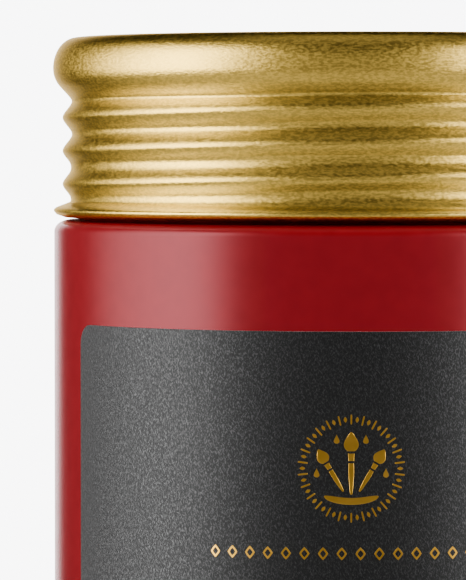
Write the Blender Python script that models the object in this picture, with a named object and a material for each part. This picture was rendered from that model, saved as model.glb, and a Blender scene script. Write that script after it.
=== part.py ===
"""A wide-mouth, screw-top paint jar, built the way it comes apart on a bench.

A moulded jar holds the paint. A rolled aluminium lid, lined with a foam disc, screws onto its
neck. A paper label with three gold foil marks is wrapped round the front.

Metres, +Z up. The origin is the centre of the base, the label faces -Y, and the thread is
right-handed: turned anticlockwise from above, the lid rises.
"""

import math

import bmesh
import bpy

MM = 0.001
FACETS = 48  # flats round every turned piece, so that nested walls stay parallel

# The jar
BODY_RADIUS = 38.0 * MM
WALL = 1.8 * MM
HEEL_RADIUS = 3.2 * MM
FOOT_INNER_RADIUS = 30.6 * MM
PUSH_UP = 1.0 * MM
FLOOR_TOP = 2.8 * MM
FLOOR_CORNER = 2.5 * MM
SHOULDER_TOP = 66.85 * MM
SHOULDER_ACROSS = 2.0 * MM
SHOULDER_DROP = 1.5 * MM
SHOULDER_WALL = 1.9 * MM
NECK_RADIUS = 34.75 * MM
MOUTH_RADIUS = 32.6 * MM
RIM_TOP = 87.3 * MM
RIM_ROUND = 0.7 * MM

# The thread that the neck and the lid share
PITCH = 4.2333 * MM  # six turns to the inch
CREST_AT_LEFT = 71.35 * MM  # height of a crest line where it crosses -X
RIDGE_DEPTH = 1.15 * MM
RIDGE_HALF_WIDTH = 1.25 * MM
RIDGE_START = 70.7 * MM
RIDGE_END = 81.3 * MM
RIDGE_FADE = 0.35 * MM
RINGS_PER_PITCH = 6

# The lid
LID_TOP = 90.0 * MM
SHEET = 0.52 * MM
PANEL_RADIUS = 33.3 * MM
PANEL_HEIGHT = 89.4 * MM
BEAD_RADIUS = 38.13 * MM
BEAD_CROWN_RADIUS = 35.2 * MM
BEAD_WAIST = 86.1 * MM
BEAD_ROLL = 3.4 * MM
LID_ROOT_RADIUS = 35.74 * MM
LID_CREST_RADIUS = 36.9 * MM
THREAD_BOTTOM = 69.5 * MM
HEM_TIP_RADIUS = 38.05 * MM
HEM_TIP = 68.08 * MM
HEM_BOTTOM = 67.2 * MM
HEM_INNER_RADIUS = 36.3 * MM
HEM_INNER_TOP = 68.3 * MM

# The foam disc in the lid
LINER_RADIUS = 35.9 * MM
LINER_THICKNESS = 1.5 * MM
REST_GAP = 0.05 * MM

# The paint
PAINT_LEVEL = 58.0 * MM
PAINT_GAP = 0.15 * MM

# The label and its foil marks
LABEL_GAP = 0.05 * MM
LABEL_THICKNESS = 0.15 * MM
LABEL_BOTTOM = 14.15 * MM
LABEL_TOP = 54.15 * MM
LABEL_HALF_ANGLE = math.radians(61.5)
LABEL_CORNER = 2.4 * MM
FOIL_GAP = 0.05 * MM
FOIL_THICKNESS = 0.08 * MM
EMBLEM_HEIGHT = 37.8 * MM
RING_OUTER = 6.5 * MM
RING_INNER = 5.3 * MM
BRUSH_LENGTH = 8.4 * MM
LINE_HEIGHT = 27.6 * MM
LINE_MARKS = 16
LINE_SPACING = 2.25 * MM
MARK_HALF_HEIGHT = 0.75 * MM
RULE_HALF_HEIGHT = 0.12 * MM


def clear_scene():
    for obj in list(bpy.data.objects):
        bpy.data.objects.remove(obj, do_unlink=True)


def finish(name, colour, roughness, metallic):
    """A plain Principled material."""
    material = bpy.data.materials.new(name)
    material.use_nodes = True
    shader = material.node_tree.nodes["Principled BSDF"]
    shader.inputs["Base Color"].default_value = (*colour, 1.0)
    shader.inputs["Roughness"].default_value = roughness
    shader.inputs["Metallic"].default_value = metallic
    return material


def add_object(name, mesh, material):
    """Put a bmesh in the scene as one smooth object with its creases kept."""
    bmesh.ops.recalc_face_normals(mesh, faces=mesh.faces)
    data = bpy.data.meshes.new(name)
    mesh.to_mesh(data)
    mesh.free()
    data.shade_smooth()
    data.set_sharp_from_angle(angle=math.radians(35.0))
    data.materials.append(material)
    obj = bpy.data.objects.new(name, data)
    bpy.context.collection.objects.link(obj)
    return obj


def arc(centre_radius, centre_height, across, up, start, end, steps):
    """Points on an ellipse quarter in the (radius, height) plane, angles in degrees from outward."""
    points = []
    for step in range(steps + 1):
        angle = math.radians(start + (end - start) * step / steps)
        radius = centre_radius + across * math.cos(angle)
        points.append((radius, centre_height + up * math.sin(angle), None))
    return points


def turned(name, outline, material):
    """Turn an outline of (radius, height, thread) points about Z.

    The outline starts and ends on the axis. Where thread is a function, the wall swells out
    to the radius that it gives at that height and angle.
    """
    mesh = bmesh.new()
    rings = []
    for radius, height, thread in outline:
        if radius == 0.0:
            rings.append([mesh.verts.new((0.0, 0.0, height))] * FACETS)
            continue
        ring = []
        for step in range(FACETS):
            angle = 2.0 * math.pi * step / FACETS
            reach = max(radius, thread(height, angle)) if thread else radius
            ring.append(mesh.verts.new((reach * math.cos(angle), reach * math.sin(angle), height)))
        rings.append(ring)
    for first, second in zip(rings, rings[1:]):
        for step in range(FACETS):
            after = (step + 1) % FACETS
            corners = (first[step], first[after], second[after], second[step])
            mesh.faces.new(list(dict.fromkeys(corners)))
    return add_object(name, mesh, material)


# ---- the thread ----


def crest_line(height, angle):
    """Height of the crest nearest to a height, on the right-hand helix at this angle."""
    lowest = CREST_AT_LEFT + PITCH * (angle - math.pi) / (2.0 * math.pi)
    return lowest + PITCH * round((height - lowest) / PITCH)


def rolled_wave(height, angle, root, crest):
    """Radius of a sheet rolled over the thread: a cosine wave between root and crest."""
    phase = 2.0 * math.pi * (height - crest_line(height, angle)) / PITCH
    return root + (crest - root) * (0.5 + 0.5 * math.cos(phase))


def lid_outside(height, angle):
    return rolled_wave(height, angle, LID_ROOT_RADIUS, LID_CREST_RADIUS)


def lid_inside(height, angle):
    return rolled_wave(height, angle, LID_ROOT_RADIUS - SHEET, LID_CREST_RADIUS - SHEET)


def fade(value):
    """0 below 0, 1 above 1 and a smooth ramp between."""
    value = min(max(value, 0.0), 1.0)
    return value * value * (3.0 - 2.0 * value)


def neck_ridge(height, angle):
    """Radius of the neck's rounded ridge, which tapers away at both ends of its run."""
    crest = crest_line(height, angle)
    offset = abs(height - crest) / RIDGE_HALF_WIDTH
    if offset >= 1.0:
        return NECK_RADIUS
    taper = fade((crest - RIDGE_START) / RIDGE_FADE) * fade((RIDGE_END - crest) / RIDGE_FADE)
    return NECK_RADIUS + RIDGE_DEPTH * taper * math.cos(0.5 * math.pi * offset) ** 2


def threaded_wall(radius_at, top, bottom, thread):
    """Rings from top to bottom on a threaded wall, close enough together to follow its ridges."""
    count = math.ceil((top - bottom) * RINGS_PER_PITCH / PITCH)
    heights = [top + (bottom - top) * step / count for step in range(count + 1)]
    return [(radius_at(height), height, thread) for height in heights]


# ---- the jar and what is in it ----


def build_jar():
    """Foot ring and push-up base, straight wall, rounded shoulder, threaded neck and open mouth."""
    outside = [(0.0, PUSH_UP, None)]
    outside += [(FOOT_INNER_RADIUS - 2.0 * MM, PUSH_UP, None)]
    outside += [(FOOT_INNER_RADIUS, 0.0, None)]
    heel_centre = BODY_RADIUS - HEEL_RADIUS
    outside += arc(heel_centre, HEEL_RADIUS, HEEL_RADIUS, HEEL_RADIUS, -90, 0, 4)
    outside += arc(
        BODY_RADIUS - SHOULDER_ACROSS,
        SHOULDER_TOP - SHOULDER_DROP,
        SHOULDER_ACROSS,
        SHOULDER_DROP,
        0,
        90,
        5,
    )
    outside += [(NECK_RADIUS, SHOULDER_TOP, None)]
    neck = threaded_wall(
        lambda height: NECK_RADIUS,
        RIDGE_END + RIDGE_HALF_WIDTH,
        RIDGE_START - RIDGE_HALF_WIDTH,
        neck_ridge,
    )
    outside += neck[::-1]
    outside += arc(NECK_RADIUS - RIM_ROUND, RIM_TOP - RIM_ROUND, RIM_ROUND, RIM_ROUND, 0, 90, 3)

    inside = arc(MOUTH_RADIUS + RIM_ROUND, RIM_TOP - RIM_ROUND, RIM_ROUND, RIM_ROUND, 90, 180, 3)
    ceiling = SHOULDER_TOP - SHOULDER_WALL
    inner_radius = BODY_RADIUS - WALL
    inside += [(MOUTH_RADIUS, SHOULDER_TOP, None)]
    inside += [(MOUTH_RADIUS + 0.6 * MM, ceiling, None)]
    inside += arc(inner_radius - 1.3 * MM, ceiling - 1.3 * MM, 1.3 * MM, 1.3 * MM, 90, 0, 3)
    floor_edge = inner_radius - FLOOR_CORNER
    inside += arc(floor_edge, FLOOR_TOP + FLOOR_CORNER, FLOOR_CORNER, FLOOR_CORNER, 0, -90, 4)
    inside += [(0.0, FLOOR_TOP, None)]
    red = finish("satin_red_plastic", (0.30, 0.012, 0.012), 0.35, 0.0)
    turned("jar_body", outside + inside, red)


def build_paint():
    """The paint, a short way off the jar's inner wall and floor."""
    radius = BODY_RADIUS - WALL - PAINT_GAP
    bottom = FLOOR_TOP + PAINT_GAP
    corner = FLOOR_CORNER
    outline = [(0.0, bottom, None)]
    outline += arc(radius - corner, bottom + corner, corner, corner, -90, 0, 4)
    outline += [(radius, PAINT_LEVEL, None), (0.0, PAINT_LEVEL, None)]
    wet = finish("wet_red_paint", (0.36, 0.008, 0.008), 0.08, 0.0)
    turned("paint", outline, wet)


# ---- the lid ----


def bead_radius(height):
    """Outside of the lid under its rolled bead: a round, then a 45 degree slope to the thread."""
    slope_start = BEAD_WAIST - BEAD_ROLL * math.sin(math.radians(45.0))
    centre = BEAD_RADIUS - BEAD_ROLL
    if height >= slope_start:
        drop = BEAD_WAIST - height
        return centre + math.sqrt(BEAD_ROLL**2 - drop**2)
    edge = centre + BEAD_ROLL * math.cos(math.radians(45.0))
    return max(LID_ROOT_RADIUS, edge - (slope_start - height))


def bead_inside(height):
    return bead_radius(height) - SHEET


def hem_inside(height):
    """Inside of the hem: wide at the mouth, narrowing up to the first thread root."""
    narrowed = HEM_INNER_RADIUS - 0.875 * max(height - HEM_INNER_TOP, 0.0)
    return max(LID_ROOT_RADIUS - SHEET, narrowed)


def build_lid_shell():
    """One aluminium sheet: recessed panel, rolled bead, rolled thread and a hemmed edge."""
    crown_across = BEAD_RADIUS - BEAD_CROWN_RADIUS
    crown_up = LID_TOP - BEAD_WAIST
    outside = [(0.0, PANEL_HEIGHT, None), (PANEL_RADIUS, PANEL_HEIGHT, None)]
    outside += [(PANEL_RADIUS + 1.1 * MM, LID_TOP - 0.12 * MM, None)]
    outside += arc(BEAD_CROWN_RADIUS, BEAD_WAIST, crown_across, crown_up, 90, 0, 7)
    outside += [(bead_radius(84.9 * MM), 84.9 * MM, None)]
    outside += threaded_wall(bead_radius, 84.1 * MM, THREAD_BOTTOM, lid_outside)
    outside += [(LID_ROOT_RADIUS + 0.25 * MM, THREAD_BOTTOM - 0.4 * MM, lid_outside)]
    outside += [(HEM_TIP_RADIUS - 0.15 * MM, HEM_TIP + 0.27 * MM, None)]
    outside += [(HEM_TIP_RADIUS, HEM_TIP, None)]
    outside += [(HEM_TIP_RADIUS - 0.15 * MM, HEM_TIP - 0.27 * MM, None)]
    outside += [(HEM_INNER_RADIUS + 0.6 * MM, HEM_BOTTOM + 0.05 * MM, None)]
    outside += [(HEM_INNER_RADIUS + 0.2 * MM, HEM_BOTTOM, None)]

    inside = [(HEM_INNER_RADIUS, HEM_BOTTOM + 0.15 * MM, None)]
    inner_rise = threaded_wall(hem_inside, THREAD_BOTTOM, HEM_INNER_TOP, lid_inside)
    inner_rise = threaded_wall(bead_inside, 84.1 * MM, THREAD_BOTTOM, lid_inside)[:-1] + inner_rise
    inside += inner_rise[::-1]
    inside += arc(
        BEAD_CROWN_RADIUS,
        BEAD_WAIST,
        crown_across - SHEET,
        crown_up - SHEET - 0.55 * MM,
        0,
        60,
        4,
    )
    panel_under = PANEL_HEIGHT - SHEET + 0.02 * MM
    inside += [(LINER_RADIUS + 0.35 * MM, panel_under, None)]
    inside += [(0.0, panel_under, None)]
    gold = finish("gold_aluminium", (0.72, 0.48, 0.18), 0.35, 1.0)
    turned("lid_shell", outside + inside, gold)


def build_liner():
    """The foam disc, a hair off the rim below it and the panel above it."""
    bottom = RIM_TOP + REST_GAP
    top = bottom + LINER_THICKNESS
    edge = 0.2 * MM
    outline = [(0.0, bottom, None), (LINER_RADIUS - edge, bottom, None)]
    outline += [(LINER_RADIUS, bottom + edge, None), (LINER_RADIUS, top - edge, None)]
    outline += [(LINER_RADIUS - edge, top, None), (0.0, top, None)]
    foam = finish("white_foam", (0.82, 0.81, 0.77), 0.8, 0.0)
    turned("lid_liner", outline, foam)


# ---- the label and its foil ----


def flat_radius(radius, angle):
    """Radius of a faceted wall whose corners are at radius, at an angle from the front."""
    facet = 2.0 * math.pi / FACETS
    from_middle = (angle % facet) - 0.5 * facet
    return radius * math.cos(0.5 * facet) / math.cos(from_middle)


def round_radius(radius, angle):
    return radius


def wrapped(name, stations, inner, outer, radius_at, is_loop, material):
    """A thin solid wrapped on the jar, from pairs of (angle from the front, height) points."""
    mesh = bmesh.new()
    sections = []
    for low, high in stations:
        section = []
        for (angle, height), radius in ((low, inner), (low, outer), (high, outer), (high, inner)):
            reach = radius_at(radius, angle)
            place = (reach * math.sin(angle), -reach * math.cos(angle), height)
            section.append(mesh.verts.new(place))
        sections.append(section)
    pairs = list(zip(sections, sections[1:]))
    if is_loop:
        pairs.append((sections[-1], sections[0]))
    else:
        mesh.faces.new(sections[0])
        mesh.faces.new(sections[-1][::-1])
    for first, second in pairs:
        for side in range(4):
            after = (side + 1) % 4
            mesh.faces.new((first[side], first[after], second[after], second[side]))
    return add_object(name, mesh, material)


def build_label():
    """The paper: flat on every facet of the jar, with four rounded corners."""
    inner = BODY_RADIUS + LABEL_GAP
    outer = inner + LABEL_THICKNESS
    facet = 2.0 * math.pi / FACETS
    corner_angle = LABEL_CORNER / outer
    flats = int(LABEL_HALF_ANGLE / facet)
    angles = {step * facet for step in range(-flats, flats + 1)}
    for step in range(5):
        reach = LABEL_HALF_ANGLE - corner_angle * (1.0 - math.sin(math.radians(22.5 * step)))
        angles |= {reach, -reach}
    stations = []
    for angle in sorted(angles):
        into_corner = max(0.0, 1.0 - (LABEL_HALF_ANGLE - abs(angle)) / corner_angle)
        drop = LABEL_CORNER * (1.0 - math.sqrt(1.0 - min(into_corner, 1.0) ** 2))
        stations.append(((angle, LABEL_BOTTOM + drop), (angle, LABEL_TOP - drop)))
    paper = finish("black_kraft_paper", (0.035, 0.035, 0.035), 0.7, 0.0)
    wrapped("label", stations, inner, outer, flat_radius, False, paper)


def brush_half_width(along):
    """Half width of the brush mark, from its handle's end (0) to its bristles' tip (1)."""
    if along < 0.52:
        return (0.20 + 0.25 * math.sin(math.pi * along / 0.62)) * MM
    if along < 0.66:
        return 0.55 * MM
    belly = (along - 0.66) / 0.34
    return (0.06 + 0.95 * (1.0 - belly) ** 0.6 * (0.6 + 0.9 * belly)) * MM


def build_foil():
    """Three stamped marks: a ring, a brush inside it and a line of diamonds below."""
    inner = BODY_RADIUS + LABEL_GAP + LABEL_THICKNESS + FOIL_GAP
    outer = inner + FOIL_THICKNESS
    foil = finish("gold_foil", (0.80, 0.50, 0.10), 0.2, 1.0)

    ring = []
    for step in range(48):
        turn = 2.0 * math.pi * step / 48
        across = math.sin(turn) / inner
        up = math.cos(turn)
        low = (RING_INNER * across, EMBLEM_HEIGHT + RING_INNER * up)
        high = (RING_OUTER * across, EMBLEM_HEIGHT + RING_OUTER * up)
        ring.append((low, high))
    wrapped("emblem_ring", ring, inner, outer, round_radius, True, foil)

    brush = []
    for along in (0.0, 0.1, 0.2, 0.35, 0.5, 0.53, 0.65, 0.68, 0.76, 0.84, 0.92, 1.0):
        half = brush_half_width(along) / inner
        height = EMBLEM_HEIGHT + BRUSH_LENGTH * (along - 0.5)
        brush.append(((-half, height), (half, height)))
    wrapped("emblem_brush", brush, inner, outer, round_radius, False, foil)

    line = []
    for mark in range(LINE_MARKS):
        middle = LINE_SPACING * (mark - 0.5 * (LINE_MARKS - 1))
        for across, half in ((-0.7, RULE_HALF_HEIGHT), (0.0, MARK_HALF_HEIGHT), (0.7, RULE_HALF_HEIGHT)):
            angle = (middle + across * MM) / inner
            line.append(((angle, LINE_HEIGHT - half), (angle, LINE_HEIGHT + half)))
    wrapped("foil_line", line, inner, outer, round_radius, False, foil)


clear_scene()
build_jar()
build_paint()
build_lid_shell()
build_liner()
build_label()
build_foil()
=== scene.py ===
"""The looks of a screw-top paint jar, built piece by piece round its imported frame."""

import math

import bpy
import numpy as np
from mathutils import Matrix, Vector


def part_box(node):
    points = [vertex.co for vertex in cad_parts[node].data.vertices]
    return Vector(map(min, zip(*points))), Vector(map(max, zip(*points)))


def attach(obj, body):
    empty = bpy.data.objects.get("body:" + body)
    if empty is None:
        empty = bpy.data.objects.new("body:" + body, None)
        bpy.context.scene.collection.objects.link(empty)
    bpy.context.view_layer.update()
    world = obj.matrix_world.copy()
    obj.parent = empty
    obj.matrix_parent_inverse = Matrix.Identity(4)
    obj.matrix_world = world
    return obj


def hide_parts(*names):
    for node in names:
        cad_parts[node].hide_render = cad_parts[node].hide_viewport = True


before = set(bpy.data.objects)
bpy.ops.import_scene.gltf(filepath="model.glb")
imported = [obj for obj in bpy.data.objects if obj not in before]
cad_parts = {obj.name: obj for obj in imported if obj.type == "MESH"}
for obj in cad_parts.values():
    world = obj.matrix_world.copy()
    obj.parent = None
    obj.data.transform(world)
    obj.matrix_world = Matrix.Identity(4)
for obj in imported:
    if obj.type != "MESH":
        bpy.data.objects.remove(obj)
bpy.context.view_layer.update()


# ---- The jar body ----
# One moulding in satin red plastic: foot ring round a pushed-up base, straight wall, rounded
# shoulder, and a neck with a right-hand ridge of two and a half turns under an open rim.

MM = 0.001
jar_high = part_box("jar_body")[1]
body_radius = jar_high.x
rim_top = jar_high.z
wall = 1.8 * MM
push_up = 1.0 * MM
gate_radius = 2.2 * MM
gate_depth = 0.3 * MM
foot_inner = 30.6 * MM
foot_slope = 2.0 * MM
foot_round = 0.3 * MM
heel = 3.2 * MM
floor_top = 2.8 * MM
floor_corner = 2.5 * MM
shoulder_top = 66.85 * MM
shoulder_across = 2.0 * MM
shoulder_drop = 1.5 * MM
neck_radius = 34.75 * MM
neck_fillet = 0.3 * MM
mouth_radius = 32.6 * MM
mouth_land = 2.0 * MM
mouth_flare = 0.7 * MM
ceiling_corner = 1.3 * MM
rim_round = 0.7 * MM

pitch = 25.4 * MM / 6.0
crest_at_left = 71.35 * MM
ridge_depth = 1.15 * MM
ridge_half_width = 1.25 * MM
ridge_start = 70.7 * MM
ridge_end = 81.3 * MM
ridge_fade = 0.35 * MM

red_deep = (0.385, 0.039, 0.042)
red_bright = (0.41, 0.042, 0.045)
red_glint = (1.0, 0.6, 0.64, 1.0)


def arc(centre, size, start, end, count):
    """Points (radius, height) at even angles on an ellipse; angles in degrees from outward.

    size is its half width and half height, or one number for a circle.
    """
    angle = np.radians(np.linspace(start, end, count))
    return np.array(centre) + np.stack([np.cos(angle), np.sin(angle)], 1) * size


def run(start, end, count):
    """Points at even steps along the straight line between two (radius, height) points."""
    share = np.linspace(0.0, 1.0, count)[:, None]
    return np.array(start) + (np.array(end) - np.array(start)) * share


def joined(*stretches):
    """One outline from several, without the points that two stretches share."""
    outline = np.concatenate(stretches)
    step = np.linalg.norm(np.diff(outline, axis=0), axis=1)
    return outline[np.concatenate([[True], step > 1e-7])]


def round_columns(count):
    """Angles about Z, in radians, of the columns of a turned surface."""
    return np.linspace(0.0, 2.0 * math.pi, count, endpoint=False)


def skin(name, grid, start=None, end=None, sheet=None):
    """A closed surface from a grid of points, (rows, columns, 3), joined round its columns.

    Four neighbours make a face, and the last column joins the first. start and end are the
    single points that close the first and the last row with a fan. sheet is (rows, columns, 2)
    of distances along the surface, kept as its UV map.
    """
    rows, columns = grid.shape[:2]
    index = np.arange(rows * columns).reshape(rows, columns)
    after = np.roll(index, -1, axis=1)
    quads = np.stack([index[:-1], after[:-1], after[1:], index[1:]], -1).reshape(-1, 4)
    points = [grid.reshape(-1, 3)]
    fans = []
    top = rows * columns
    if start is not None:
        points.append(np.array([start]))
        fans.append(np.stack([after[0], index[0], np.full(columns, top)], 1))
        top += 1
    if end is not None:
        points.append(np.array([end]))
        fans.append(np.stack([index[-1], after[-1], np.full(columns, top)], 1))
    mesh = bpy.data.meshes.new(name)
    fans = np.concatenate(fans) if fans else np.empty((0, 3), int)
    mesh.from_pydata(np.concatenate(points), [], quads.tolist() + fans.tolist())
    mesh.shade_smooth()
    if sheet is not None:
        flat = np.zeros((len(mesh.vertices), 2), np.float32)
        flat[: rows * columns] = sheet.reshape(-1, 2)
        corner = np.empty(len(mesh.loops), np.int32)
        mesh.loops.foreach_get("vertex_index", corner)
        mesh.uv_layers.new(name="sheet").data.foreach_set("uv", flat[corner].ravel())
    piece = bpy.data.objects.new(name, mesh)
    bpy.context.scene.collection.objects.link(piece)
    return piece


def turned(name, outline, columns, swell=None):
    """An outline of (radius, height) points carried round Z, from one point on the axis to another.

    Each point keeps its height and goes round at its radius. swell, if given, takes the radii,
    the heights and the angles as arrays and returns the radii that a thread pushes out.
    """
    angle = round_columns(columns)[None, :]
    radius = np.broadcast_to(outline[1:-1, :1], (len(outline) - 2, columns))
    height = np.broadcast_to(outline[1:-1, 1:], radius.shape)
    if swell is not None:
        radius = swell(radius, height, angle)
    grid = np.stack([radius * np.cos(angle), radius * np.sin(angle), height], -1)
    return skin(name, grid, (0.0, 0.0, outline[0, 1]), (0.0, 0.0, outline[-1, 1]))


def crest_line(height, angle):
    """Height of the nearest thread crest: the helix climbs one pitch a turn, anticlockwise."""
    lowest = crest_at_left + pitch * (angle - math.pi) / (2.0 * math.pi)
    return lowest + pitch * np.round((height - lowest) / pitch)


def ramp(value):
    """0 below 0, 1 above 1, and the smooth cubic between."""
    value = np.clip(value, 0.0, 1.0)
    return value * value * (3.0 - 2.0 * value)


def neck_swell(radius, height, angle):
    """The neck's ridge: a squared cosine across the helix, fading at both ends of its run."""
    crest = crest_line(height, angle)
    across = np.clip(np.abs(height - crest) / ridge_half_width, 0.0, 1.0)
    length = ramp((crest - ridge_start) / ridge_fade) * ramp((ridge_end - crest) / ridge_fade)
    on_neck = np.abs(radius - neck_radius) < 1e-6
    return radius + on_neck * ridge_depth * length * np.cos(0.5 * math.pi * across) ** 2


def body_outline():
    """Base centre, foot ring, heel, wall, shoulder, neck, rim, then down the inside to the floor."""
    ceiling = shoulder_top - wall
    inner = body_radius - wall
    shoulder_start = shoulder_top - shoulder_drop
    gate = push_up - gate_depth
    flare_top = (mouth_radius + 0.2 * MM, shoulder_top - 1.0 * MM)
    return joined(
        run((0.0, gate), (gate_radius, gate), 4),
        run((gate_radius + gate_depth, push_up), (foot_inner - foot_slope, push_up), 14),
        run((foot_inner - foot_round, 0.4 * foot_round), (foot_inner, 0.0), 3),
        run((foot_inner, 0.0), (body_radius - heel, 0.0), 4),
        arc((body_radius - heel, heel), heel, -90, 0, 16),
        run((body_radius, heel), (body_radius, shoulder_start), 40),
        arc((body_radius - shoulder_across, shoulder_start), (shoulder_across, shoulder_drop), 0, 90, 16),
        arc((neck_radius + neck_fillet, shoulder_top + neck_fillet), neck_fillet, 270, 180, 5),
        run((neck_radius, ridge_start - ridge_half_width), (neck_radius, ridge_end + ridge_half_width), 92),
        arc((neck_radius - rim_round, rim_top - rim_round), rim_round, 0, 90, 8),
        arc((mouth_radius + rim_round, rim_top - rim_round), rim_round, 90, 180, 8),
        run((mouth_radius, rim_top - mouth_land), (mouth_radius, shoulder_top), 10),
        run(flare_top, (mouth_radius + mouth_flare, ceiling), 4),
        arc((inner - ceiling_corner, ceiling - ceiling_corner), ceiling_corner, 90, 0, 8),
        arc((inner - floor_corner, floor_top + floor_corner), floor_corner, 0, -90, 10),
        run((inner - floor_corner, floor_top), (0.0, floor_top), 10),
    )


def new_group(name, inputs, outputs):
    """An empty shader node group, with its (name, socket type, default) inputs and outputs."""
    group = bpy.data.node_groups.new(name, "ShaderNodeTree")
    for label, kind, default in inputs:
        socket = group.interface.new_socket(name=label, in_out="INPUT", socket_type=kind)
        if default is not None:
            socket.default_value = default
    for label, kind in outputs:
        group.interface.new_socket(name=label, in_out="OUTPUT", socket_type=kind)
    return group, group.nodes.new("NodeGroupInput"), group.nodes.new("NodeGroupOutput")


def maths(nodes, links, operation, *values):
    """A Math node fed by sockets or plain numbers; returns its result."""
    node = nodes.new("ShaderNodeMath")
    node.operation = operation
    for socket, value in zip(node.inputs, values):
        if isinstance(value, (int, float)):
            socket.default_value = value
        else:
            links.new(value, socket)
    return node.outputs[0]


def build_grain_group():
    """Two sizes of noise on Object coordinates, squashed along Z so that the grain lies round a piece.

    Grain mixes the two by Coarse and stretches the mix about its middle by Contrast. Cloud is the
    coarse noise alone, whose patches are eight times as wide.
    """
    group, source, result = new_group(
        "grain",
        [
            ("Size", "NodeSocketFloat", 0.3 * MM),
            ("Squash", "NodeSocketFloat", 2.0),
            ("Coarse", "NodeSocketFloat", 0.35),
            ("Contrast", "NodeSocketFloat", 1.0),
        ],
        [("Grain", "NodeSocketFloat"), ("Cloud", "NodeSocketFloat")],
    )
    nodes, links = group.nodes, group.links
    place = nodes.new("ShaderNodeTexCoord")
    squash = nodes.new("ShaderNodeCombineXYZ")
    squash.inputs[0].default_value = 1.0
    squash.inputs[1].default_value = 1.0
    links.new(source.outputs["Squash"], squash.inputs[2])
    squashed = nodes.new("ShaderNodeVectorMath")
    squashed.operation = "MULTIPLY"
    links.new(place.outputs["Object"], squashed.inputs[0])
    links.new(squash.outputs[0], squashed.inputs[1])
    scale = maths(nodes, links, "DIVIDE", 1.0, source.outputs["Size"])
    fine = nodes.new("ShaderNodeTexNoise")
    fine.inputs["Detail"].default_value = 1.0
    fine.inputs["Roughness"].default_value = 0.6
    links.new(squashed.outputs[0], fine.inputs["Vector"])
    links.new(scale, fine.inputs["Scale"])
    coarse = nodes.new("ShaderNodeTexNoise")
    coarse.inputs["Detail"].default_value = 1.0
    links.new(squashed.outputs[0], coarse.inputs["Vector"])
    links.new(maths(nodes, links, "MULTIPLY", scale, cloud_scale), coarse.inputs["Scale"])
    blend = nodes.new("ShaderNodeMix")
    links.new(source.outputs["Coarse"], blend.inputs[0])
    links.new(fine.outputs[0], blend.inputs[2])
    links.new(coarse.outputs[0], blend.inputs[3])
    centred = maths(nodes, links, "SUBTRACT", blend.outputs[0], 0.5)
    grain = maths(nodes, links, "MULTIPLY_ADD", centred, source.outputs["Contrast"], 0.5)
    links.new(grain, result.inputs["Grain"])
    links.new(coarse.outputs[0], result.inputs["Cloud"])
    return group


cloud_scale = 0.12
grain_group = build_grain_group()


def new_material(name, **sockets):
    """A material with a Principled shader, whose constant values are set on its own sockets."""
    material = bpy.data.materials.new(name)
    material.use_nodes = True
    shader = material.node_tree.nodes["Principled BSDF"]
    for socket, value in sockets.items():
        shader.inputs[socket.replace("_", " ")].default_value = value
    return material, shader


def add_grain(material, size, coarse, squash=1.0, contrast=1.0):
    """The grain group in a material, with its own values."""
    node = material.node_tree.nodes.new("ShaderNodeGroup")
    node.node_tree = grain_group
    node.inputs["Size"].default_value = size
    node.inputs["Squash"].default_value = squash
    node.inputs["Coarse"].default_value = coarse
    node.inputs["Contrast"].default_value = contrast
    return node


def spread(material, value, low, high, target, start=0.3, stop=0.7):
    """Feed a socket with a value, whose range from start to stop becomes low to high.

    low and high are two numbers or two colours.
    """
    nodes, links = material.node_tree.nodes, material.node_tree.links
    if isinstance(low, (int, float)):
        node = nodes.new("ShaderNodeMapRange")
        node.inputs["From Min"].default_value = start
        node.inputs["From Max"].default_value = stop
        node.inputs["To Min"].default_value = low
        node.inputs["To Max"].default_value = high
        links.new(value, node.inputs["Value"])
    else:
        node = nodes.new("ShaderNodeValToRGB")
        node.color_ramp.elements[0].position = start
        node.color_ramp.elements[0].color = (*low, 1.0)
        node.color_ramp.elements[1].position = stop
        node.color_ramp.elements[1].color = (*high, 1.0)
        links.new(value, node.inputs["Fac"])
    links.new(node.outputs[0], target)


def add_bump(material, shader, height, distance, strength):
    """A Bump node from a height value to the shader's normal."""
    bump = material.node_tree.nodes.new("ShaderNodeBump")
    bump.inputs["Distance"].default_value = distance
    bump.inputs["Strength"].default_value = strength
    material.node_tree.links.new(height, bump.inputs["Height"])
    material.node_tree.links.new(bump.outputs[0], shader.inputs["Normal"])


def red_plastic():
    """Satin moulded plastic: a faint cloud in the colour, and a gloss that varies with the grain."""
    material, shader = new_material("satin_red_plastic", Metallic=0.0, IOR=1.6, Specular_Tint=red_glint)
    grain = add_grain(material, size=0.25 * MM, coarse=0.5)
    spread(material, grain.outputs["Cloud"], red_deep, red_bright, shader.inputs["Base Color"])
    spread(material, grain.outputs["Grain"], 0.23, 0.27, shader.inputs["Roughness"])
    add_bump(material, shader, grain.outputs["Grain"], distance=0.002 * MM, strength=0.5)
    return material


jar_body = turned("jar_body_moulding", body_outline(), columns=300, swell=neck_swell)
jar_body.data.materials.append(red_plastic())
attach(jar_body, "jar")
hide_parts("jar_body")


# ---- The paint ----
# Water-based paint, filled to below the shoulder: it wets the wall in a low rim, and its
# surface keeps the soft rings of the pour.

paint_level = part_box("paint")[1].z
paint_gap = 0.03 * MM
wetting = 0.9 * MM
wetting_reach = 1.1 * MM
pour_ring_height = 0.10 * MM
pour_rings = 3.5
paint_deep = (0.33, 0.006, 0.006)
paint_bright = (0.42, 0.012, 0.010)


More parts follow.
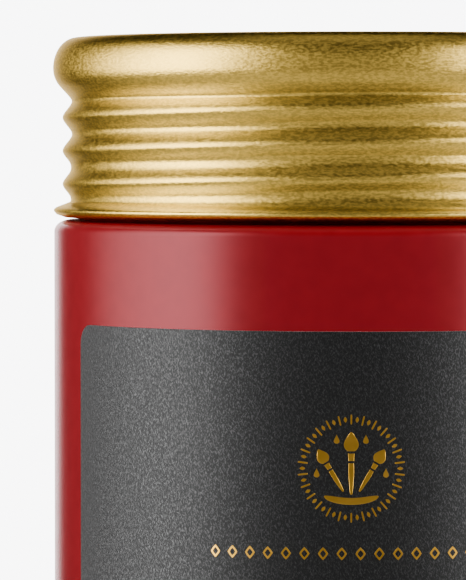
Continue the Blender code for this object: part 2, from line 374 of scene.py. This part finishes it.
def paint_outline():
    """Out along the floor, up the wall to the wetted rim, and back in along the surface.

    The surface is flat, plus a rise that dies away exponentially from the wall, plus a cosine
    of the radius that fades towards the wall.
    """
    edge = body_radius - wall - paint_gap
    bottom = floor_top + paint_gap
    share = np.linspace(1.0, 0.0, 60)
    rise = wetting * np.exp((share - 1.0) * edge / wetting_reach)
    rings = pour_ring_height * np.cos(share * 2.0 * math.pi * pour_rings) * (1.0 - share) ** 1.5
    return joined(
        run((0.0, bottom), (edge - floor_corner, bottom), 6),
        arc((edge - floor_corner, bottom + floor_corner), floor_corner, -90, 0, 8),
        run((edge, bottom + floor_corner), (edge, paint_level - 2.0 * MM), 8),
        np.stack([share * edge, paint_level - wetting + rise + rings], 1),
    )


def wet_paint():
    """Wet paint: glossy, with streaks of thinner and thicker pigment from stirring."""
    material, shader = new_material(
        "wet_red_paint",
        Metallic=0.0,
        IOR=1.5,
        Coat_Weight=0.6,
        Coat_Roughness=0.04,
    )
    nodes, links = material.node_tree.nodes, material.node_tree.links
    grain = add_grain(material, size=1.6 * MM, coarse=0.6)
    place = nodes.new("ShaderNodeTexCoord")
    stir = nodes.new("ShaderNodeTexWave")
    stir.wave_type = "RINGS"
    stir.rings_direction = "Z"
    stir.inputs["Scale"].default_value = 60.0
    stir.inputs["Distortion"].default_value = 9.0
    stir.inputs["Detail"].default_value = 2.0
    stir.inputs["Detail Scale"].default_value = 0.6
    links.new(place.outputs["Object"], stir.inputs["Vector"])
    spread(material, stir.outputs["Fac"], paint_deep, paint_bright, shader.inputs["Base Color"])
    spread(material, grain.outputs["Cloud"], 0.12, 0.2, shader.inputs["Roughness"])
    add_bump(material, shader, stir.outputs["Fac"], distance=0.05 * MM, strength=0.4)
    return material


paint = turned("paint_fill", paint_outline(), columns=160)
paint.data.materials.append(wet_paint())
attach(paint, "jar")
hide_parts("paint")


# ---- The label ----
# A sheet of uncoated black kraft paper with rounded corners, stuck round the front of the
# wall. Its fibres show as short pale flecks.

label_low, label_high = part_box("label")
paper_inner = body_radius + 0.02 * MM
paper_outer = body_radius + 0.20 * MM
paper_half_angle = math.radians(61.5)
paper_corner = 2.4 * MM
paper_edge_round = 0.04 * MM
fibre_length = 0.44 * MM
fibre_width = 0.17 * MM
fibre_lays = ((64.0, 0.1), (-58.0, 0.3), (95.0, 0.7))  # degrees from the label's width, and a shift
fibre_contrast = 4.0
fibre_level = -1.85
pulp_share = 0.3
paper_black = (0.0, 0.0, 0.0)
paper_grey = (0.022, 0.022, 0.0222)


def wrap(radius, angle, height):
    """Points on a cylinder, from the angle measured from the front towards +X and the height."""
    return np.stack(np.broadcast_arrays(radius * np.sin(angle), -radius * np.cos(angle), height), -1)


def build_label():
    """The sheet: down the outside and up the inside at every angle.

    In the corners it is shorter, by what a circle of the corner's radius takes away.
    """
    corner_angle = paper_corner / paper_outer
    swing = np.radians(np.linspace(0.0, 90.0, 14))
    side = paper_half_angle - corner_angle * (1.0 - np.sin(swing))
    angle = np.concatenate([-side[::-1], np.linspace(-side[0], side[0], 90)[1:-1], side])[:, None]
    into = np.clip(1.0 - (paper_half_angle - np.abs(angle)) / corner_angle, 0.0, 1.0)
    drop = paper_corner * (1.0 - np.sqrt(1.0 - into**2))
    low = label_low.z + drop
    high = label_high.z - drop
    edge_rows = np.array([0.0, 0.04, 0.09, 0.3]) * MM
    middle = np.linspace(1.0, 0.0, 36)[1:-1]
    between = low + edge_rows[-1] + (high - low - 2.0 * edge_rows[-1]) * middle
    outside = np.concatenate([high - edge_rows, between, low + edge_rows[::-1]], 1)
    inside = low + (high - low) * np.linspace(0.0, 1.0, 8)
    height = np.concatenate([outside, inside], 1)
    radius = np.full(height.shape[1], paper_outer)
    radius[[0, outside.shape[1] - 1]] -= paper_edge_round
    radius[outside.shape[1] :] = paper_inner
    grid = wrap(radius[None, :], angle, height)
    centre = 0.5 * (label_low.z + label_high.z)
    halfway = 0.5 * (paper_inner + paper_outer)
    ends = [wrap(halfway, end * paper_half_angle, centre) for end in (-1.0, 1.0)]
    sheet = np.stack(np.broadcast_arrays(angle * paper_outer, height), -1)
    return skin("label_paper", grid, ends[0], ends[1], sheet)


def fibres(nodes, links, place, turn, shift):
    """One lay of fibres: noise drawn out to short strands along a direction of the sheet."""
    mapping = nodes.new("ShaderNodeMapping")
    mapping.vector_type = "TEXTURE"
    mapping.inputs["Location"].default_value = (shift, 0.0, 0.0)
    mapping.inputs["Rotation"].default_value = (0.0, 0.0, math.radians(turn))
    mapping.inputs["Scale"].default_value = (fibre_length, fibre_width, 1.0)
    links.new(place, mapping.inputs["Vector"])
    noise = nodes.new("ShaderNodeTexNoise")
    noise.inputs["Scale"].default_value = 1.0
    noise.inputs["Detail"].default_value = 1.0
    noise.inputs["Distortion"].default_value = 0.4
    links.new(mapping.outputs[0], noise.inputs["Vector"])
    return noise.outputs[0]


def black_kraft():
    """Black kraft paper: three lays of fibres over the pulp's tooth, paler and glossier on top."""
    material, shader = new_material(
        "black_kraft_paper",
        Metallic=0.0,
        Specular_IOR_Level=0.3,
        Sheen_Weight=1.0,
        Sheen_Roughness=0.48,
        Coat_IOR=1.8,
        Coat_Roughness=0.45,
    )
    nodes, links = material.node_tree.nodes, material.node_tree.links
    sheet = nodes.new("ShaderNodeUVMap")
    sheet.uv_map = "sheet"
    top_fibre = 0.0
    for turn, shift in fibre_lays:
        lay = fibres(nodes, links, sheet.outputs[0], turn, shift)
        top_fibre = maths(nodes, links, "MAXIMUM", top_fibre, lay)
    fibre = maths(nodes, links, "MULTIPLY_ADD", top_fibre, fibre_contrast, fibre_level)
    grain = add_grain(material, size=0.20 * MM, coarse=0.0, contrast=2.5)
    mix = nodes.new("ShaderNodeMix")
    mix.inputs[0].default_value = pulp_share
    links.new(fibre, mix.inputs[2])
    links.new(grain.outputs["Grain"], mix.inputs[3])
    tooth = mix.outputs[0]
    spread(material, tooth, paper_black, paper_grey, shader.inputs["Base Color"], start=0.5, stop=0.9)
    spread(material, tooth, 0.30, 0.95, shader.inputs["Coat Weight"], start=0.40, stop=0.95)
    spread(material, tooth, 0.60, 0.45, shader.inputs["Roughness"])
    add_bump(material, shader, tooth, distance=0.030 * MM, strength=1.0)
    return material


label = build_label()
label.data.materials.append(black_kraft())
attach(label, "jar")
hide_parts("label")


# ---- The foil marks ----
# Hot-stamped gold foil on the paper: a ring of strokes and lozenges, a fan of three
# paintbrushes with drops over a brushed stroke inside it, and a line of lozenges below.

ring_low, ring_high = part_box("emblem_ring")
line_low, line_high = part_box("foil_line")
foil_outer = paper_outer + 0.04 * MM
foil_inner = paper_outer - 0.01 * MM
foil_edge = 0.02 * MM
blunt = 1.0001  # just over 1, so that the tip of a strip keeps a little width
emblem_height = 0.5 * (ring_low.z + ring_high.z)
line_height = 0.5 * (line_low.z + line_high.z)

ring_count = 52
ring_middle = 5.875 * MM
line_count = 16
line_step = 2.25 * MM
foil_deep = (0.71, 0.44, 0.115)
foil_bright = (0.77, 0.49, 0.14)


def placed(loops, radii, across, up, turn=0.0):
    """Loops of a flat mark on the label, each at its own radius.

    Each is turned clockwise, moved across and up the flat sheet, and wrapped round the wall.
    """
    turned_by = np.array([[math.cos(turn), -math.sin(turn)], [math.sin(turn), math.cos(turn)]])
    moved = np.stack(loops) @ turned_by + np.array([across, up])
    return wrap(np.array(radii)[:, None], moved[..., 0] / foil_outer, moved[..., 1])


def solid_mark(outline, across, up, turn=0.0):
    """A filled mark: its foot, its edge and its slightly smaller face, closed at both ends."""
    inset = outline * (1.0 - foil_edge / np.abs(outline).max())
    radii = (foil_inner, foil_outer - foil_edge, foil_outer)
    ends = [wrap(radius, across / foil_outer, up) for radius in radii[::2]]
    return placed([outline, outline, inset], radii, across, up, turn), ends


def open_mark(outline, thickness, across, up):
    """An outlined mark: up its outer edge, across its face and down its inner edge to the foot."""
    hole = outline * (1.0 - thickness / np.linalg.norm(outline, axis=1).min())
    rise = (foil_inner, foil_outer - foil_edge, foil_outer)
    loops = [outline, outline, 0.97 * outline, 1.04 * hole, hole, hole]
    return placed(loops, rise + rise[::-1], across, up), None


def stamped(name, marks):
    """One piece from many marks: bands of faces between their loops, and fans at closed ends."""
    points, faces, top = [], [], 0
    for grid, ends in marks:
        rows, columns = grid.shape[:2]
        index = top + np.arange(rows * columns).reshape(rows, columns)
        if ends is None:
            index = np.concatenate([index, index[:1]])
        after = np.roll(index, -1, axis=1)
        faces += np.stack([index[:-1], index[1:], after[1:], after[:-1]], -1).reshape(-1, 4).tolist()
        points.append(grid.reshape(-1, 3))
        top += rows * columns
        if ends is not None:
            faces += np.stack([index[0], after[0], np.full(columns, top)], 1).tolist()
            faces += np.stack([after[-1], index[-1], np.full(columns, top + 1)], 1).tolist()
            points.append(np.array(ends))
            top += 2
    mesh = bpy.data.meshes.new(name)
    mesh.from_pydata(np.concatenate(points), [], faces)
    piece = bpy.data.objects.new(name, mesh)
    bpy.context.scene.collection.objects.link(piece)
    return piece


def lozenge(width, height, power, count):
    """A closed outline between a diamond (power 1) and a rectangle (high powers)."""
    angle = -np.linspace(0.0, 2.0 * math.pi, count, endpoint=False)
    bulge = (np.abs(np.cos(angle)) ** power + np.abs(np.sin(angle)) ** power) ** (-1.0 / power)
    return 0.5 * np.stack([width * bulge * np.cos(angle), height * bulge * np.sin(angle)], 1)


def drop_shape(width, height, count):
    """A paint drop, point upwards: an oval whose sides are drawn in towards its tip."""
    angle = -np.linspace(0.0, 2.0 * math.pi, count, endpoint=False)
    rise = np.sin(angle)
    taper = 0.72 * (1.0 - rise)
    return 0.5 * np.stack([width * np.cos(angle) * taper, height * rise], 1)


def strip_mark(along, half, middle, foot, turn):
    """A long mark: a raised section carried along a line from its foot, turned clockwise.

    At each distance along, the section is twice half wide and lies middle to the line's side.
    """
    rise = np.array([foil_inner, foil_outer - foil_edge, foil_outer])
    side = np.array([1.0, 1.0, 0.86])
    radii = np.concatenate([rise, rise[::-1]])
    across = middle[:, None] + half[:, None] * np.concatenate([side, -side[::-1]])
    up = np.broadcast_to(along[:, None], across.shape)
    x = foot[0] + across * math.cos(turn) + up * math.sin(turn)
    z = emblem_height + foot[1] - across * math.sin(turn) + up * math.cos(turn)
    grid = wrap(radii[None, :], x / foil_outer, z)
    return grid, [grid[0].mean(0), grid[-1].mean(0)]


def brush_marks(length, wide, foot, turn):
    """One brush in three strips: a tapered handle, a short ferrule, and bristles to a point.

    Each strip's half width is a function of the share of its length, from 0 to 1.
    """
    spans = ((0.0, 0.50), (0.535, 0.655), (0.69, 1.0))
    widths = (
        lambda share: 0.12 + 0.26 * np.sin(0.5 * math.pi * share) ** 0.8 * (1.0 - 0.25 * share**6),
        lambda share: 0.34 + 0.08 * share,
        lambda share: (0.42 + 0.58 * np.sin(math.pi * share**0.75)) * np.sqrt(blunt - share**2.2),
    )
    marks = []
    for (start, end), width in zip(spans, widths):
        share = np.linspace(0.0, 1.0, 30)
        along = length * (start + (end - start) * share)
        marks.append(strip_mark(along, wide * width(share), np.zeros(30), foot, turn))
    return marks


def ring_of_strokes():
    """Strokes and lozenges in turn at even angles round the emblem, each pointing outwards."""
    stroke = lozenge(0.24 * MM, 1.2 * MM, 6.0, 20)
    small_lozenge = lozenge(0.44 * MM, 0.72 * MM, 1.4, 16)
    marks = []
    for place in range(ring_count):
        turn = 2.0 * math.pi * place / ring_count
        across = ring_middle * math.sin(turn)
        up = emblem_height + ring_middle * math.cos(turn)
        marks.append(solid_mark((stroke, small_lozenge)[place % 2], across, up, turn))
    return marks


def brushed_stroke():
    """A stroke that curves down in the middle, with ends rounded by a fourth power."""
    share = np.linspace(-1.0, 1.0, 40)
    half = 0.42 * MM * np.sqrt(blunt - share**4)
    bend = 0.55 * MM * (1.0 - share**2)
    return strip_mark(3.3 * MM * share, half, bend, (0.0, -3.35 * MM), 0.5 * math.pi)


def fan_of_brushes():
    """A tall brush between two shorter ones that lean outwards, four drops, and the stroke."""
    drop = drop_shape(0.75 * MM, 1.15 * MM, 24)
    marks = brush_marks(7.5 * MM, 0.95 * MM, (0.0, -3.1 * MM), 0.0)
    for side in (-1.0, 1.0):
        foot = (side * 0.95 * MM, -2.75 * MM)
        marks += brush_marks(5.9 * MM, 0.80 * MM, foot, side * math.radians(31.0))
        marks.append(solid_mark(drop, side * 1.75 * MM, emblem_height + 3.55 * MM))
        marks.append(solid_mark(drop, side * 4.15 * MM, emblem_height - 0.5 * MM))
    return marks + [brushed_stroke()]


def line_of_lozenges():
    """Open lozenges in a level row, at even steps about the label's middle."""
    shape = lozenge(1.26 * MM, 1.56 * MM, 1.15, 24)
    half = 0.5 * line_step * (line_count - 1)
    places = np.linspace(-half, half, line_count)
    return [open_mark(shape, 0.24 * MM, across, line_height) for across in places]


def gold_foil():
    """Stamped foil: bright metal that takes a little of the paper's tooth."""
    material, shader = new_material("gold_foil", Metallic=1.0)
    grain = add_grain(material, size=0.2 * MM, coarse=0.3)
    spread(material, grain.outputs["Cloud"], foil_deep, foil_bright, shader.inputs["Base Color"])
    spread(material, grain.outputs["Grain"], 0.30, 0.40, shader.inputs["Roughness"])
    add_bump(material, shader, grain.outputs["Grain"], distance=0.005 * MM, strength=0.5)
    return material


foil = gold_foil()
emblem_ring = stamped("emblem_ring_foil", ring_of_strokes())
emblem_brush = stamped("emblem_brush_foil", fan_of_brushes())
foil_line = stamped("foil_line_marks", line_of_lozenges())
for piece, node in ((emblem_ring, "emblem_ring"), (emblem_brush, "emblem_brush"), (foil_line, "foil_line")):
    piece.data.materials.append(foil)
    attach(piece, "jar")
    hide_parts(node)


# ---- The lid liner ----
# A punched disc of white closed-cell foam, held under the lid's panel. The rim has pressed a
# shallow groove into it.

liner_low, liner_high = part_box("lid_liner")
liner_soft = 0.25 * MM
liner_flat = liner_high.x - liner_soft
groove_depth = 0.12 * MM
groove_width = 0.9 * MM
foam_grey = (0.78, 0.77, 0.73)
foam_white = (0.86, 0.855, 0.82)


def liner_outline():
    """Underside, soft edge and flat top; the rim's groove in it is a bell curve of the radius."""
    radius = np.linspace(0.0, liner_flat, 120)
    seat = 0.5 * (mouth_radius + neck_radius)
    groove = groove_depth * np.exp(-(((radius - seat) / groove_width) ** 2))
    return joined(
        np.stack([radius, liner_low.z + groove], 1),
        arc((liner_flat, liner_low.z + liner_soft), liner_soft, -90, 0, 6),
        arc((liner_flat, liner_high.z - liner_soft), liner_soft, 0, 90, 6),
        run((liner_flat, liner_high.z), (0.0, liner_high.z), 12),
    )


def white_foam():
    """Closed-cell foam: tiny dimples where the cut opened its cells."""
    material, shader = new_material(
        "white_foam",
        Metallic=0.0,
        Subsurface_Weight=0.15,
        Subsurface_Scale=1.5 * MM,
    )
    nodes, links = material.node_tree.nodes, material.node_tree.links
    place = nodes.new("ShaderNodeTexCoord")
    cells = nodes.new("ShaderNodeTexVoronoi")
    cells.inputs["Scale"].default_value = 1.0 / (0.45 * MM)
    links.new(place.outputs["Object"], cells.inputs["Vector"])
    grain = add_grain(material, size=0.6 * MM, coarse=0.5)
    spread(material, grain.outputs["Cloud"], foam_grey, foam_white, shader.inputs["Base Color"])
    spread(material, grain.outputs["Grain"], 0.75, 0.9, shader.inputs["Roughness"])
    add_bump(material, shader, cells.outputs["Distance"], distance=0.04 * MM, strength=0.5)
    return material


liner = turned("lid_liner_foam", liner_outline(), columns=200)
liner.data.materials.append(white_foam())
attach(liner, "liner")
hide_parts("lid_liner")


# ---- The lid ----
# One gold-anodised aluminium sheet: recessed panel, rolled bead, a thread rolled in over the
# neck's, and a hemmed edge that flares over the shoulder.

lid_low, lid_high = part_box("lid_shell")
lid_top = lid_high.z
bead_radius = lid_high.x
hem_bottom = lid_low.z
sheet_gauge = 0.52 * MM
panel_radius = 33.3 * MM
panel_height = 89.4 * MM
bead_crown = 35.2 * MM
bead_waist = 86.1 * MM
bead_roll = 3.4 * MM

root_radius = 35.74 * MM
crest_radius = 36.92 * MM
thread_bottom = 69.5 * MM
thread_middle = 75.0 * MM
thread_top = 84.4 * MM
thread_from_outside = 68.7 * MM
thread_from_inside = 67.9 * MM
thread_sharpness = 0.68
bead_fillet = 0.5 * MM

hem_tip_radius = 38.05 * MM
hem_tip = 68.06 * MM
hem_tip_round = 0.3 * MM
hem_fold_round = 0.35 * MM
hem_inner = 36.3 * MM
hem_inner_top = 68.3 * MM
hem_slope = 21.4  # degrees below level, of the flare over the shoulder
hem_fillet = 0.4 * MM

gold_deep = (0.67, 0.485, 0.157)
gold_bright = (0.85, 0.620, 0.202)
# painted reflection: a paler gold that the lid shows only where it mirrors itself
painted_gold_reflection = (0.70, 0.68, 0.62, 1.0)


def bead_wall(height, least=root_radius):
    """Outside radius under the bead: a round, then a 45 degree slope in to the least radius."""
    eighth = bead_roll * math.sqrt(0.5)
    start = bead_waist - eighth
    edge = bead_radius - bead_roll + eighth
    drop = np.clip(bead_waist - height, 0.0, eighth)
    rounded = bead_radius - bead_roll + np.sqrt(bead_roll**2 - drop**2)
    return np.where(height > start, rounded, np.maximum(least, edge - (start - height)))


def rolled_wave(height, angle, root, crest):
    """A rolled thread: straight flanks with small rounds, the arcsine of a flattened cosine."""
    phase = 2.0 * math.pi * (height - crest_line(height, angle)) / pitch
    wave = np.arcsin(thread_sharpness * np.cos(phase)) / math.asin(thread_sharpness)
    return root + (crest - root) * (0.5 + 0.5 * wave)


def blended_max(first, second, width):
    """The larger of two radii, with a fillet of about that width where they cross."""
    gap = np.clip(0.5 + 0.5 * (first - second) / width, 0.0, 1.0)
    return second + (first - second) * gap + width * gap * (1.0 - gap)


def lid_swell(radius, height, angle):
    """The thread on both faces of the sheet, where the outline is at its root.

    Outside, it runs out into the slope under the bead with a fillet. Inside, it is the same
    thread one sheet further in, wherever that lies outside the outline.
    """
    touch = 0.01 * MM
    on_outer = radius > root_radius - touch
    outside = on_outer & (height < thread_top) & (height > thread_from_outside)
    inside = ~on_outer & (radius < hem_inner + touch) & (height < thread_top)
    inside &= height > thread_from_inside
    at_root = (height > thread_middle) & (np.abs(radius - root_radius) < 1e-7)
    under_bead = np.where(at_root, bead_wall(height, root_radius - 1.0 * MM), radius)
    wave = rolled_wave(height, angle, root_radius, crest_radius)
    outer = blended_max(wave, under_bead, bead_fillet)
    inner = np.maximum(wave - sheet_gauge, radius)
    return np.where(inside, inner, np.where(outside, outer, radius))


def lid_inside():
    """Under the panel, round the inside of the bead, and down inside the thread to the hem."""
    under = panel_height - sheet_gauge + 0.02 * MM
    crown = (bead_radius - bead_crown - sheet_gauge, lid_top - bead_waist - sheet_gauge - 0.55 * MM)
    height = np.linspace(thread_top - 0.2 * MM, hem_inner_top, 84)
    widened = hem_inner - 0.875 * (height - hem_inner_top)
    lower = np.maximum(root_radius - sheet_gauge, widened)
    radius = np.where(height > thread_middle, bead_wall(height) - sheet_gauge, lower)
    return joined(
        run((0.0, under), (36.1 * MM, under), 10),
        arc((bead_crown, bead_waist), crown, 58, 0, 12),
        run((bead_radius - sheet_gauge, bead_waist), (37.07 * MM, thread_top + 0.1 * MM), 4),
        np.stack([radius, height], 1),
    )


def lid_hem():
    """The sheet's edge folded under: its inner face, its fold, its underside, its tip and its top."""
    fold = (hem_inner + hem_fold_round, hem_bottom + hem_fold_round)
    bend = (root_radius + hem_fillet, thread_bottom - 0.02 * MM)
    inner_face = run((hem_inner, hem_inner_top - 0.1 * MM), (hem_inner, hem_bottom + 0.3 * MM), 4)
    underside = run((36.95 * MM, hem_bottom + 0.1 * MM), (37.72 * MM, 67.55 * MM), 6)
    flare = run((37.68 * MM, 68.46 * MM), (36.36 * MM, 68.97 * MM), 8)
    return joined(
        inner_face,
        arc(fold, hem_fold_round, 180, 285, 6),
        underside,
        arc((hem_tip_radius - hem_tip_round, hem_tip), hem_tip_round, -62, 62, 10),
        flare,
        arc(bend, hem_fillet, 270 - hem_slope, 182, 8),
    )


def lid_outside():
    """Up outside the thread, round the bead, and down over its inner edge to the panel."""
    thread_rows = np.linspace(thread_bottom, thread_top, 124)
    bead_rows = np.array([84.5, 84.6, *np.linspace(84.8, 86.0, 8)]) * MM
    height = np.concatenate([thread_rows, bead_rows])
    inner_edge = (panel_radius + 0.8 * MM, lid_top - 0.2 * MM)
    step_top = (panel_radius + 0.5 * MM, panel_height + 0.15 * MM)
    return joined(
        np.stack([bead_wall(height), height], 1),
        arc((bead_crown, bead_waist), (bead_radius - bead_crown, lid_top - bead_waist), 0, 90, 30),
        run((bead_crown - 0.3 * MM, lid_top - 0.01 * MM), inner_edge, 5),
        run(step_top, (panel_radius, panel_height), 4),
        run((panel_radius - 0.3 * MM, panel_height), (0.0, panel_height), 20),
    )


def gold_aluminium():
    """Anodised sheet, spun: its gloss is drawn out round the lid, and so is its orange-peel grain.

    Where the gold mirrors gold, its reflection is painted a paler colour, so that facing folds don't turn
    orange.
    """
    material, shader = new_material(
        "gold_aluminium",
        Metallic=1.0,
        Anisotropic=0.35,
        Specular_Tint=(1.0, 0.86, 0.62, 1.0),
    )
    nodes, links = material.node_tree.nodes, material.node_tree.links
    round_axis = nodes.new("ShaderNodeTangent")
    round_axis.direction_type = "RADIAL"
    round_axis.axis = "Z"
    links.new(round_axis.outputs[0], shader.inputs["Tangent"])
    grain = add_grain(material, size=0.55 * MM, coarse=0.0, squash=2.5, contrast=1.7)
    # glossy rays see the painted reflection colour in place of the grained gold
    path = nodes.new("ShaderNodeLightPath")
    colour = nodes.new("ShaderNodeMix")
    colour.data_type = "RGBA"
    links.new(path.outputs["Is Glossy Ray"], colour.inputs["Factor"])
    spread(material, grain.outputs["Grain"], gold_deep, gold_bright, colour.inputs["A"])
    colour.inputs["B"].default_value = painted_gold_reflection
    links.new(colour.outputs["Result"], shader.inputs["Base Color"])
    spread(material, grain.outputs["Grain"], 0.32, 0.40, shader.inputs["Roughness"])
    add_bump(material, shader, grain.outputs["Grain"], distance=0.017 * MM, strength=1.0)
    return material


lid_outline = joined(lid_inside(), lid_hem(), lid_outside())
lid = turned("lid_shell_metal", lid_outline, columns=288, swell=lid_swell)
lid.data.materials.append(gold_aluminium())
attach(lid, "lid")
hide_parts("lid_shell")


# ---- The studio ----
# A pale table with a white wall behind, a tall soft box on each side that fades to its rear
# and its top, and a room that is dim in front and darker overhead.

eye_height = 77.0 * MM
eye_distance = 0.551
lens = 267.2
look_left = math.radians(1.577)
look_down = math.radians(1.996)
soft_box_azimuth = 82.0
soft_box_distance = 0.75
soft_box_width = 1.40
soft_box_height = 1.3
soft_box_middle = 0.42
soft_box_power = 24.6
backdrop_white = (1.0, 1.0, 1.01, 1.0)
backdrop_strength = 2.8
backdrop_glow = 1.9
room_front = 0.27
room_ground = 0.38
room_rear = 0.3
room_overhead = 0.05
room_zenith = 0.3
table_colour = (0.32, 0.32, 0.32, 1.0)
table_reach = 30.0
contact_shadow = 0.07


def add_camera():
    """The camera, level with the lid, turned a little left of the jar's axis and down."""
    data = bpy.data.cameras.new("camera")
    data.lens = lens
    data.sensor_width = 36.0
    camera = bpy.data.objects.new("camera", data)
    camera.location = (0.0, -eye_distance, eye_height)
    camera.rotation_euler = (0.5 * math.pi - look_down, 0.0, look_left)
    bpy.context.scene.collection.objects.link(camera)
    bpy.context.scene.camera = camera


def smooth_step(nodes, links, value, low, high):
    """0 where a value is under low, 1 over high, and a smooth step between."""
    step = nodes.new("ShaderNodeMapRange")
    step.interpolation_type = "SMOOTHSTEP"
    step.inputs["From Min"].default_value = low
    step.inputs["From Max"].default_value = high
    links.new(value, step.inputs["Value"])
    return step.outputs[0]


def add_soft_box(name, azimuth):
    """A tall area light facing the jar, fading to its rear and its top; azimuth in degrees towards +X."""
    data = bpy.data.lights.new(name, "AREA")
    data.use_nodes = True
    nodes, links = data.node_tree.nodes, data.node_tree.links
    place = nodes.new("ShaderNodeNewGeometry")
    split = nodes.new("ShaderNodeSeparateXYZ")
    links.new(place.outputs["Parametric"], split.inputs[0])
    from_left = split.outputs["X"]
    from_right = maths(nodes, links, "SUBTRACT", 1.0, from_left)
    from_top = maths(nodes, links, "SUBTRACT", 1.0, split.outputs["Y"])
    if azimuth > 0.0:
        from_front, from_rear = from_left, from_right
    else:
        from_front, from_rear = from_right, from_left
    front = smooth_step(nodes, links, from_front, 0.0, 0.3)
    rear = smooth_step(nodes, links, from_rear, 0.05, 0.75)
    top = smooth_step(nodes, links, from_top, 0.0, 0.4)
    level = maths(nodes, links, "MULTIPLY", maths(nodes, links, "MULTIPLY", front, rear), top)
    links.new(level, nodes["Emission"].inputs["Strength"])
    data.shape = "RECTANGLE"
    data.size = soft_box_width
    data.size_y = soft_box_height
    data.energy = soft_box_power
    light = bpy.data.objects.new(name, data)
    turn = math.radians(azimuth)
    across, ahead = soft_box_distance * math.sin(turn), soft_box_distance * math.cos(turn)
    light.location = (across, -ahead, soft_box_middle)
    light.rotation_euler = (0.5 * math.pi, 0.0, turn)
    light.visible_camera = False
    bpy.context.scene.collection.objects.link(light)


def room_light(nodes, links):
    """How bright the room is in each direction, from the direction's own x, y and z.

    It is room_front all round, room_overhead high up with room_zenith added straight up, and
    lifted underfoot, more to the sides. All that is dimmed to the rear by room_rear, before
    backdrop_glow is added straight behind.
    """
    place = nodes.new("ShaderNodeTexCoord")
    split = nodes.new("ShaderNodeSeparateXYZ")
    links.new(place.outputs["Generated"], split.inputs[0])
    x, y, z = split.outputs
    overhead = smooth_step(nodes, links, z, 0.15, 0.75)
    zenith = smooth_step(nodes, links, z, 0.86, 0.985)
    underfoot = smooth_step(nodes, links, maths(nodes, links, "MULTIPLY", z, -1.0), 0.3, 0.7)
    sideways = smooth_step(nodes, links, maths(nodes, links, "ABSOLUTE", x), 0.1, 0.5)
    rearward = smooth_step(nodes, links, y, 0.1, 0.7)
    behind = smooth_step(nodes, links, y, 0.85, 0.96)
    level = maths(nodes, links, "MULTIPLY_ADD", overhead, room_overhead - room_front, room_front)
    level = maths(nodes, links, "MULTIPLY_ADD", zenith, room_zenith, level)
    ground = maths(nodes, links, "MULTIPLY_ADD", sideways, 0.5 * room_ground, 0.5 * room_ground)
    level = maths(nodes, links, "MULTIPLY_ADD", underfoot, ground, level)
    shade = maths(nodes, links, "MULTIPLY_ADD", rearward, room_rear - 1.0, 1.0)
    level = maths(nodes, links, "MULTIPLY", level, shade)
    return maths(nodes, links, "MULTIPLY_ADD", behind, backdrop_glow, level)


def shown_and_lit(nodes, links, lit, shown, output):
    """Finish a material or the world: one shader for the camera itself, another for all else."""
    path = nodes.new("ShaderNodeLightPath")
    mix = nodes.new("ShaderNodeMixShader")
    result = nodes.new(output)
    links.new(path.outputs["Is Camera Ray"], mix.inputs[0])
    links.new(lit.outputs[0], mix.inputs[1])
    links.new(shown.outputs[0], mix.inputs[2])
    links.new(mix.outputs[0], result.inputs["Surface"])


def add_world():
    """The room as the jar sees it, and plain white to the camera itself."""
    world = bpy.data.worlds.new("studio")
    world.use_nodes = True
    bpy.context.scene.world = world
    nodes, links = world.node_tree.nodes, world.node_tree.links
    nodes.clear()
    room = nodes.new("ShaderNodeBackground")
    room.inputs["Color"].default_value = (1.0, 1.0, 1.0, 1.0)
    links.new(room_light(nodes, links), room.inputs["Strength"])
    white = nodes.new("ShaderNodeBackground")
    white.inputs["Color"].default_value = backdrop_white
    white.inputs["Strength"].default_value = backdrop_strength
    shown_and_lit(nodes, links, room, white, "ShaderNodeOutputWorld")


def add_table():
    """The table: matt grey to the jar, and to the camera the backdrop's white with a contact shadow."""
    mesh = bpy.data.meshes.new("table_top")
    corners = np.array([(-1.0, -1.0, 0.0), (1.0, -1.0, 0.0), (1.0, 1.0, 0.0), (-1.0, 1.0, 0.0)])
    mesh.from_pydata(table_reach * corners, [], [(0, 1, 2, 3)])
    material = bpy.data.materials.new("table_top")
    material.use_nodes = True
    nodes, links = material.node_tree.nodes, material.node_tree.links
    nodes.clear()
    matt = nodes.new("ShaderNodeBsdfDiffuse")
    matt.inputs["Color"].default_value = table_colour
    shadow = nodes.new("ShaderNodeAmbientOcclusion")
    shadow.inputs["Color"].default_value = backdrop_white
    shadow.inputs["Distance"].default_value = contact_shadow
    glow = nodes.new("ShaderNodeEmission")
    glow.inputs["Strength"].default_value = backdrop_strength
    links.new(shadow.outputs["Color"], glow.inputs["Color"])
    shown_and_lit(nodes, links, matt, glow, "ShaderNodeOutputMaterial")
    mesh.materials.append(material)
    table = bpy.data.objects.new("table_top", mesh)
    bpy.context.scene.collection.objects.link(table)
    table.visible_glossy = False


add_camera()
add_soft_box("left_soft_box", -soft_box_azimuth)
add_soft_box("right_soft_box", soft_box_azimuth)
add_world()
add_table()
bpy.context.scene.view_settings.view_transform = "AgX"
bpy.context.scene.view_settings.look = "AgX - High Contrast"
